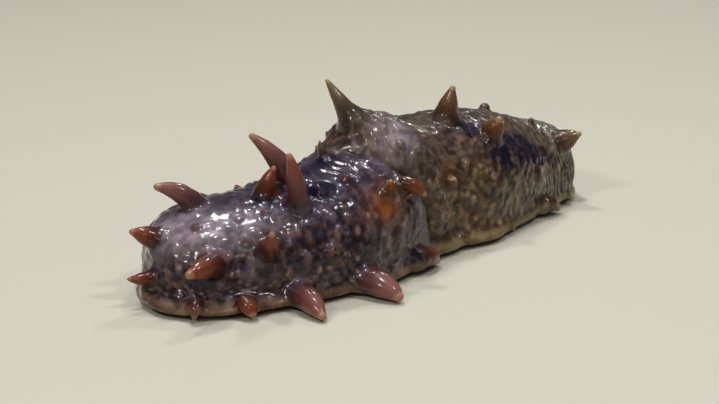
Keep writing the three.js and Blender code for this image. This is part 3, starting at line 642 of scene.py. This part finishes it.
def granules(points, size, seed):
    """Scattered soft domes of uneven size that run together: height from 0 in the gaps to 1, and a
    number from 0 to 1 for each grain."""
    scaled = points / size
    base = np.floor(scaled)
    height, tallest, grain = (np.zeros(len(points)) for _ in range(3))
    for step in itertools.product((-1, 0, 1), repeat=3):
        cell = base + step
        chance = scattered(cell, seed)
        dome = (0.35 + 0.75 * chance[:, 1]) * swell(np.linalg.norm(cell + chance - scaled, axis=1), 0, 0.45)
        height += dome
        grain = np.where(dome > tallest, chance[:, 0], grain)
        tallest = np.maximum(tallest, dome)
    return np.minimum(height, 1), grain


def beads(points, size, seed):
    """Round caps apart from one another, height from 0 round them to 1 on the tallest."""
    scaled = points / size
    base = np.floor(scaled)
    nearest = np.full(len(points), 9.0)
    for step in itertools.product((-1, 0, 1), repeat=3):
        middle = base + step + 0.15 + 0.7 * scattered(base + step, seed)
        nearest = np.minimum(nearest, np.linalg.norm(middle - scaled, axis=1))
    return np.clip(1 - (nearest / BEAD_SPREAD) ** 2, 0, None)


def clouds(points, size, seed):
    """Soft uneven field from -1 to 1."""
    scaled = points / size
    base = np.floor(scaled)
    t = scaled - base
    t = t * t * (3 - 2 * t)
    total = np.zeros(len(points))
    for step in itertools.product((0, 1), repeat=3):
        weight = np.prod(np.where(np.array(step) == 1, t, 1 - t), axis=1)
        total += weight * scattered(base + step, seed)[:, 1]
    return total * 2 - 1


def section_place(points):
    """u and theta of points on or near the skin."""
    samples = np.linspace(0, LAST, 1501)
    batch = 8000
    ax, ay, tail_x, tail_y = axis_at(samples)
    nearest = np.empty(len(points), int)
    for start in range(0, len(points), batch):
        part = points[start:start + batch]
        gap = (part[:, 0, None] - ax) ** 2 + (part[:, 1, None] - ay) ** 2
        nearest[start:start + batch] = gap.argmin(1)
    u = samples[nearest]
    dx, dy = points[:, 0] - ax[nearest], points[:, 1] - ay[nearest]
    across = (dx * tail_y[nearest] - dy * tail_x[nearest]) / measure(u, HALF_WIDTH)
    widest_z = WIDEST * measure(u, HEIGHT)
    reach = np.where(points[:, 2] > widest_z, measure(u, HEIGHT) - widest_z, widest_z - SOLE_BOTTOM)
    theta = np.degrees(np.arctan2((points[:, 2] - widest_z) / reach, across))
    return u, np.where(theta < -90, theta + 360, theta)


def papilla_cover(points, papillae):
    """How much each point belongs to a papilla, how near the tip it is, its tone, and how near a root.
    The small papillae keep half of the skin's own colour."""
    cover, tip, tone, root = (np.zeros(len(points)) for _ in range(4))
    for one in papillae:
        near, t, gap, _ = one.nearest(points)
        if not len(near):
            continue
        share = smooth_step(t, 0.0, 0.22) * (gap < one.radius(t) * 1.25 + 0.5)
        share *= 1 if one.girth > 1.4 * SMALL_GIRTH else 0.5
        better = share > cover[near]
        chosen = near[better]
        cover[chosen], tip[chosen], tone[chosen] = share[better], t[better], one.tone
        from_root = np.linalg.norm(points[near] - one.root, axis=1)
        ring = swell(from_root, 1.3 * one.girth, 0.55 * one.girth)
        root[near] = np.maximum(root[near], ring)
    return cover, tip, tone, root


def round_papillae(points, papillae):
    """Brings the ends of the papillae back to their full round form after the fusing."""
    for one in papillae:
        near, t, gap, middle = one.nearest(points)
        share = smooth_step(t, 0.3, 0.55) * (gap < one.radius(t) * 1.4 + 0.5) * (gap > 0.05)
        outward = (points[near] - middle) / np.maximum(gap, 0.05)[:, None]
        moved = middle + outward * one.radius(t)[:, None]
        moved[:, 2] = np.maximum(moved[:, 2], LOWEST_Z)
        points[near] += share[:, None] * (moved - points[near])


def shape_skin():
    """The whole skin as one worked surface, with the fields that its finish is painted from."""
    large, small = all_papillae()
    parts = [closed_grid(trunk_rings())]
    parts += [closed_grid(one.rings(LARGE_SIDES, LARGE_STEPS)) for one in large]
    parts += [closed_grid(one.rings(SMALL_SIDES, SMALL_STEPS)) for one in small]
    surface = Surface(*fused_surface(parts, VOXEL))
    surface.even_out(5)
    root = papilla_cover(surface.points, large + small)[3]
    surface.smooth(16, 0.55 * root)
    round_papillae(surface.points, large)
    cover, tip, tone, root = papilla_cover(surface.points, large + small)
    u, theta = section_place(surface.points)
    fields = skin_fields(surface, u, theta, cover, tip, tone, root)
    surface.points = surface.points + surface.normals() * fields.pop("relief")[:, None]
    surface.even_out(1)
    return surface, fields


def patch(u, theta, places):
    """Soft oval patches, from 0 to 1."""
    total = np.zeros(len(u))
    for at_u, at_theta, long, wide in places:
        total = np.maximum(total, swell(np.hypot((u - at_u) / long, (theta - at_theta) / wide), 0, 1))
    return total


def vent_form(points):
    """Relief of the puckered vent at the tail end."""
    x, y, tail_x, tail_y = (float(v) for v in axis_at(LAST))
    across = (points[:, 0] - x) * tail_y - (points[:, 1] - y) * tail_x
    along = (points[:, 0] - x) * tail_x + (points[:, 1] - y) * tail_y
    up = points[:, 2] - VENT_Z
    out = np.hypot(across, up)
    pucker = 1 + 0.5 * np.cos(PUCKERS * np.arctan2(up, across))
    rim = 0.5 * pucker * swell(out, 1.7 * VENT_RADIUS, 0.7 * VENT_RADIUS)
    pit = VENT_DEPTH * swell(out, 0, 0.7 * VENT_RADIUS)
    return (rim - pit) * smooth_step(along, -4.5, -2.0)


def skin_fields(surface, u, theta, cover, tip, tone, root):
    """Relief in millimetres, and the shares that steer the colours."""
    points = surface.points
    bare = 1 - cover

    # Where on the animal a point lies
    turn = np.radians(theta)
    top = smooth_step(np.sin(turn), 0.45, 0.85)
    past = u - crease_at(theta)
    near = smooth_step(np.cos(turn), -0.1, 0.7)
    rear = smooth_step(past, -0.12, 0.12)
    tail = smooth_step(u, 7.3, 8.3)
    height = smooth_step(points[:, 2], SOLE_RIM, 7.0)

    # Patterns that follow the skin: along the trunk and round it, with a little wandering
    lie = np.stack([u * STATION_LENGTH, theta * GIRTH_PER_DEGREE, np.zeros(len(u))], -1)
    wander = WANDER * clouds(points, 5.0, 3)
    bent = lie + np.stack([wander, WANDER * clouds(points, 4.0, 4), np.zeros(len(u))], -1)
    streak, streak_grain = granules(bent / (1.0, 1.7, 1.0), STREAK_MM, 5)
    wart, wart_grain = granules(points + wander[:, None] * 0.3, WART_MM, 9)
    knob = beads(points, KNOB_MM, 13)
    worm = (1 - np.abs(clouds(bent / (1.0, 1.5, 1.0), WORM_MM, 17))) ** 3
    ring = 0.5 + 0.5 * np.cos(2 * math.pi * (lie[:, 0] + 1.1 * wander) / RING_FOLD_MM)

    # Stains, painted sheen and painted shade, and the zones that each kind of fold keeps to
    painted_sheen = patch(u, theta, PAINTED_SHEEN_PATCHES)
    ink_and_shade = smooth_step(patch(u, theta, INK_AND_SHADE_PATCHES) + 0.2 * clouds(points, 3.0, 33), 0.3, 0.65)
    amber = patch(u, theta, AMBER_PATCHES)
    crest = top * (1 - tail)
    worms = crest * smooth_step(u, 1.4, 2.2) * (1 + 0.8 * swell(u, SHOULDER_AT, 0.5))
    knobs = smooth_step(np.sin(turn), 0.15, 0.55) * (1 - 0.8 * smooth_step(u, 1.5, 2.2)) * (1 - tail)
    grainy = (1 - 0.7 * crest) * (1 - 0.7 * root) * (1 - 0.7 * swell(past, 0, 0.3)) * (1 - 0.8 * knobs)

    # Broad swelling, then beads on the head, worm-like folds on the crest, streaks on the front
    # flank, warts on the rear one and rings at the tail
    relief = BROAD_RELIEF * clouds(points, BROAD_MM, 1)
    relief += UNEVEN_RELIEF * clouds(points, UNEVEN_MM, 2) * (1 - 0.8 * knobs)
    relief += KNOB_RELIEF * knob * knobs + WORM_RELIEF * (worm - 0.4) * worms
    relief += (1 - rear) * STREAK_RELIEF * (streak - 0.4) * grainy * height
    relief += rear * WART_RELIEF * (wart - 0.4) * grainy * height * (1 - 0.7 * tail)
    relief += RING_RELIEF * (ring - 0.5) * tail * height
    lip = LIP_RISE * swell(past, LIP_PAST, LIP_HALF)
    groove = GROOVE_DEPTH * swell(past, GROOVE_PAST, GROOVE_HALF)
    relief += (lip - groove) * (1 - 0.6 * top) * near * smooth_step(points[:, 2], 2.5, 6)
    relief += vent_form(points)

    # The dent, the waves of the margin, and a sole that stays flat
    dent = swell(np.linalg.norm(points - skin_point(*DENT_PLACE), axis=1), 0, DENT_RADIUS)
    under = smooth_step(-points[:, 2], -1.6, -1.1)
    ripple = RIPPLE_RELIEF * clouds(lie, RIPPLE_MM, 21) * smooth_step(-points[:, 2], -6.0, -3.0)
    relief = (relief * bare - DENT_DEPTH * dent + ripple) * (1 - under)
    relief += PAPILLA_RELIEF * clouds(points, PAPILLA_MM, 7) * cover * (1 - tip)

    # What stands out is paler, and the depth of the crease gets painted shade
    dome = streak * (1 - rear) + wart * rear
    dome = dome * (1 - crest) + (0.4 * knob + 0.6 * worm) * crest
    dome = dome * (1 - 0.7 * tail) + ring * 0.7 * tail
    grain = streak_grain * (1 - rear) + wart_grain * rear
    crease_shade = swell(past, 0.02, 0.06) * smooth_step(points[:, 2], 2.0, 6.0) * near * (1 - 0.7 * top)
    return {
        "relief": relief,
        "cover": cover,
        "tip": tip,
        "tone": tone,
        "rear": rear,
        "tail": tail,
        "top": top,
        "height": height,
        "dome": DOME_SHARE * dome,
        "grain": grain * (1 - crest),
        # Painted sheen, kept off the papillae
        "painted_sheen": painted_sheen * bare,
        "amber": AMBER_SHARE * amber,
        # Ink stains, with painted shade in the dent, on the crest and in the crease
        "ink_and_shade": np.maximum(ink_and_shade, crease_shade) * bare,
    }


def finished_object(name, surface, fields):
    """A smooth-shaded object with its painted fields."""
    made = mesh_object(name, surface.points, surface.quads.tolist())
    made.data.shade_smooth()
    for field, values in fields.items():
        made.data.attributes.new(field, "FLOAT", "POINT").data.foreach_set("value", values)
    return made


def linear(hex_colour):
    """An sRGB hex colour as linear red, green, blue and alpha."""
    channels = [int(hex_colour[i:i + 2], 16) / 255 for i in (1, 3, 5)]
    return [c / 12.92 if c <= 0.04045 else ((c + 0.055) / 1.055) ** 2.4 for c in channels] + [1.0]


def add(tree, kind, inputs=None, **settings):
    """Adds a node, sets its properties and fills or links its inputs. The mix of two colours takes its
    share at input 0 and the colours at 6 and 7, and gives the result at output 2."""
    made = tree.nodes.new(kind)
    for key, value in settings.items():
        setattr(made, key, value)
    for key, value in (inputs or {}).items():
        if isinstance(value, bpy.types.NodeSocket):
            tree.links.new(value, made.inputs[key])
        else:
            made.inputs[key].default_value = value
    return made


def new_material(name):
    """An empty node material and its tree."""
    made = bpy.data.materials.new(name)
    made.use_nodes = True
    made.node_tree.nodes.clear()
    return made, made.node_tree


def tone_layers(name, dark, light, warm, cool, brightest):
    """Layers of one tone of the trunk: its mottled ground, the pale grains on it, and the brightest."""
    return [("ground", "patches", dark, light), ("grains", "tint", warm, cool),
            (name, "pale grains", "ground", "grains"), (name, "bright grains", name, brightest)]


def wet_skin():
    """Living body wall, soft and wet with sea water and slime: dark pigment with paler grains in it, which
    looks deep, under a clear film with small sharp glints."""
    made, tree = new_material("wet_body_wall")
    place = add(tree, "ShaderNodeTexCoord").outputs["Object"]
    share = {}
    for name in SKIN_FIELDS:
        share[name] = add(tree, "ShaderNodeAttribute", attribute_name=name).outputs["Fac"]
    for name, size_mm, detail, shift in SKIN_CLOUDS:
        moved = add(tree, "ShaderNodeVectorMath", {0: place, 1: (shift, shift, shift)}, operation="ADD")
        noise = add(tree, "ShaderNodeTexNoise",
                    {"Vector": moved.outputs[0], "Scale": 1 / (size_mm * MM), "Detail": detail})
        share[name] = noise.outputs["Fac"]
    uneven = add(tree, "ShaderNodeMath", {0: share["dome"], 1: share["grain cloud"]}, operation="ADD")
    share["uneven"] = uneven.outputs[0]
    for name, source, low, high, least, most, *factors in SKIN_SHARES:
        eased = add(tree, "ShaderNodeMapRange", {0: share[source], 1: low, 2: high, 3: least, 4: most},
                    interpolation_type="SMOOTHSTEP")
        for factor in factors:
            eased = add(tree, "ShaderNodeMath", {0: eased.outputs[0], 1: share[factor]},
                        operation="MULTIPLY")
        share[name] = eased.outputs[0]

    tones = [layer for name, colours in TRUNK_TONES.items() for layer in tone_layers(name, *colours)]
    colour = {}
    for name, by, low, high in (*tones, *SKIN_LAYERS):
        ends = [linear(end) if end.startswith("#") else colour[end] for end in (low, high)]
        laid = add(tree, "ShaderNodeMix", {0: share[by], 6: ends[0], 7: ends[1]}, data_type="RGBA")
        colour[name] = laid.outputs[2]

    bump = add(tree, "ShaderNodeBump", {"Height": share["pits"], "Strength": 0.35, "Distance": 0.15 * MM})
    # Wet flesh has an IOR of about 1.4 and sea water 1.34. Both are a little lower here, because
    # the skin stays dark under its glints.
    shader = add(tree, "ShaderNodeBsdfPrincipled", {
        "Base Color": colour["skin"],
        "Roughness": share["roughness"],
        "Normal": bump.outputs[0],
        "IOR": 1.36,
        "Specular IOR Level": 0.2,
        "Subsurface Weight": 0.15,
        "Subsurface Radius": (1.0, 0.4, 0.22),
        "Subsurface Scale": 1.0 * MM,
        "Coat Weight": 1.0,
        "Coat Roughness": 0.13,
        "Coat IOR": 1.3,
    })
    add(tree, "ShaderNodeOutputMaterial", {"Surface": shader.outputs[0]})
    return made


def soft_foot_flesh(name, pale, deep):
    """Thin wet flesh of feet and tentacles: translucent, so the light softens in it, under a clear wet
    film. Its IOR is that of flesh, about 1.4."""
    made, tree = new_material(name)
    place = add(tree, "ShaderNodeTexCoord").outputs["Object"]
    cloud = add(tree, "ShaderNodeTexNoise",
                {"Vector": place, "Scale": 1 / (FOOT_CLOUD_MM * MM), "Detail": 3.0})
    cloud_share = add(tree, "ShaderNodeMapRange", {0: cloud.outputs["Fac"], 1: 0.35, 2: 0.65},
                      interpolation_type="SMOOTHSTEP")
    colour = add(tree, "ShaderNodeMix", {0: cloud_share.outputs[0], 6: linear(deep), 7: linear(pale)},
                 data_type="RGBA")
    bump = add(tree, "ShaderNodeBump",
               {"Height": cloud.outputs["Fac"], "Strength": 0.4, "Distance": 0.15 * MM})
    shader = add(tree, "ShaderNodeBsdfPrincipled", {
        "Base Color": colour.outputs[2],
        "Roughness": 0.3,
        "Normal": bump.outputs[0],
        "IOR": 1.4,
        "Subsurface Weight": 0.4,
        "Subsurface Radius": (1.0, 0.5, 0.3),
        "Subsurface Scale": 0.8 * MM,
        "Coat Weight": 1.0,
        "Coat Roughness": 0.06,
    })
    add(tree, "ShaderNodeOutputMaterial", {"Surface": shader.outputs[0]})
    return made


def joined_parts(name, parts):
    """One object of many closed parts."""
    made = mesh_object(name, *joined(parts))
    made.data.shade_smooth()
    return made


def turned_rings(profile, middle, sides):
    """Rings of a turned form from (radius, z) pairs, from its top to its foot."""
    turns = np.arange(sides) * 2 * math.pi / sides
    return np.array([[(middle[0] + radius * math.cos(turn), middle[1] + radius * math.sin(turn), z)
                      for turn in turns] for radius, z in profile])


def tube_feet():
    """Crowded feet in three bands under the sole, each with a flat sucker on the floor."""
    draws = seeded_stream(FOOT_SEED)
    feet = []
    for row in FOOT_ROWS:
        for i in range(FEET_IN_ROW):
            u = FIRST_FOOT + i * FOOT_STEP + 0.1 * (next(draws) - 0.5)
            x, y, tail_x, tail_y = (float(v) for v in axis_at(u))
            half = float(measure(u, HALF_WIDTH) * opening(u, MARGIN_BLUNT, MARGIN_BLUNT))
            offset = half * (row + 0.06 * (next(draws) - 0.5))
            radius = FOOT_RADIUS + 0.14 * next(draws)
            if math.hypot((u - MOUTH_U) * STATION_LENGTH, offset) < MOUTH_RADIUS + CLEAR_OF_MOUTH:
                continue
            middle = (x + offset * tail_y, y - offset * tail_x)
            profile = [(radius * wide, z) for wide, z in FOOT_PROFILE]
            feet.append(closed_grid(turned_rings(profile, middle, FOOT_SIDES)))
    return joined_parts("tube_feet", feet)


def mouth_parts():
    """The lip and the drawn-in tentacles, each ending in small blunt lobes."""
    x, y, _, _ = (float(v) for v in axis_at(MOUTH_U))
    lip = turned_rings((
        (2.0, BELLY_Z), (MOUTH_RADIUS, BELLY_Z), (MOUTH_RADIUS + 0.1, 1.5), (MOUTH_RADIUS - 0.3, 0.85),
        (MOUTH_RADIUS - 0.9, 0.7), (MOUTH_RADIUS - 1.5, 1.0), (MOUTH_HOLLOW + 0.6, 1.7), (MOUTH_HOLLOW, 2.1),
        (0.6, 2.3)), (x, y), LIP_SIDES)
    turns = np.arange(LIP_SIDES) * 2 * math.pi / LIP_SIDES
    lip[3:6, :, 2] += 0.12 * np.cos(turns * TENTACLES)
    parts = [closed_grid(lip)]
    for i in range(TENTACLES):
        turn = 2 * math.pi * i / TENTACLES
        reach = MOUTH_HOLLOW + (0.1 if i % 2 else 1.1)
        for lobe in range(LOBES):
            swing = turn + 0.9 * (lobe - (LOBES - 1) / 2) / reach / 2.6
            stretch = reach + 0.22 * ((lobe % 2) - 0.5)
            middle = (x + stretch * math.cos(swing), y + stretch * math.sin(swing))
            parts.append(closed_grid(turned_rings(LOBE_PROFILE, middle, LOBE_SIDES)))
    return joined_parts("mouth_tentacles", parts)


def place_camera():
    """Long-lens close view over the near flank, looking down a little, as in the photograph."""
    level = math.cos(CAMERA_ELEVATION)
    right = np.array([math.cos(CAMERA_AZIMUTH), math.sin(CAMERA_AZIMUTH), 0])
    forward = np.array([-math.sin(CAMERA_AZIMUTH) * level, math.cos(CAMERA_AZIMUTH) * level,
                        -math.sin(CAMERA_ELEVATION)])
    up = np.cross(right, forward)
    lens = bpy.data.cameras.new("camera")
    lens.sensor_width = SENSOR_MM
    lens.lens = FOCAL_PIXELS * SENSOR_MM / PICTURE_PIXELS
    lens.clip_start = 0.01
    camera = bpy.data.objects.new("camera", lens)
    bpy.context.scene.collection.objects.link(camera)
    turned = Matrix([(*axes, 0) for axes in zip(right, up, -forward)] + [(0, 0, 0, 1)])
    camera.matrix_world = Matrix.Translation(np.array(CAMERA_PLACE) * MM) @ turned
    bpy.context.scene.camera = camera


def area_light(name, place, size, power, colour):
    """A round lamp that is turned to the animal."""
    lamp = bpy.data.lights.new(name, "AREA")
    lamp.shape = "DISK"
    lamp.size = size
    lamp.energy = power
    lamp.color = linear(colour)[:3]
    made = bpy.data.objects.new(name, lamp)
    bpy.context.scene.collection.objects.link(made)
    away = unit(np.array(place) - np.array(LAMP_AIM))
    side = unit(np.cross((0, 0, 1), away))
    made.matrix_world = Matrix.Translation(place) @ Matrix(
        [(*axes, 0) for axes in zip(side, np.cross(away, side), away)] + [(0, 0, 0, 1)])


def studio():
    """Plain pale floor of matt board, soft light all round, and small lamps that glint on the wet skin."""
    tone, tree = new_material("pale_floor")
    shader = add(tree, "ShaderNodeBsdfPrincipled", {"Base Color": linear("#bfbcaa"), "Roughness": 0.6})
    add(tree, "ShaderNodeOutputMaterial", {"Surface": shader.outputs[0]})
    corners = [(x * FLOOR_HALF, y * FLOOR_HALF, FLOOR_Z) for x, y in ((-1, -1), (1, -1), (1, 1), (-1, 1))]
    floor = mesh_object("floor", corners, [(0, 1, 2, 3)])
    floor.data.materials.append(tone)
    sky = bpy.data.worlds.new("soft_room")
    sky.use_nodes = True
    sky.node_tree.nodes["Background"].inputs["Color"].default_value = linear("#e6e3e8")
    sky.node_tree.nodes["Background"].inputs["Strength"].default_value = 0.12
    bpy.context.scene.world = sky
    bpy.context.scene.view_settings.view_transform = "Standard"
    for lamp in LAMPS:
        area_light(*lamp)


place_camera()
studio()

skin_surface, skin_paint = shape_skin()
skin = finished_object("skin", skin_surface, skin_paint)
skin.data.materials.append(wet_skin())
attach(skin, "root")
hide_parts("head_end", "forebody", "midbody", "hindbody", "tail_end",
            "sole_front", "sole_middle", "sole_rear")

feet = tube_feet()
feet.data.materials.append(soft_foot_flesh("tube_foot_flesh", "#b79f87", "#8a6f5a"))
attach(feet, "root")

mouth = mouth_parts()
mouth.data.materials.append(soft_foot_flesh("tentacle_flesh", "#8a6154", "#5c3a33"))
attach(mouth, "root")
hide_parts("mouth")
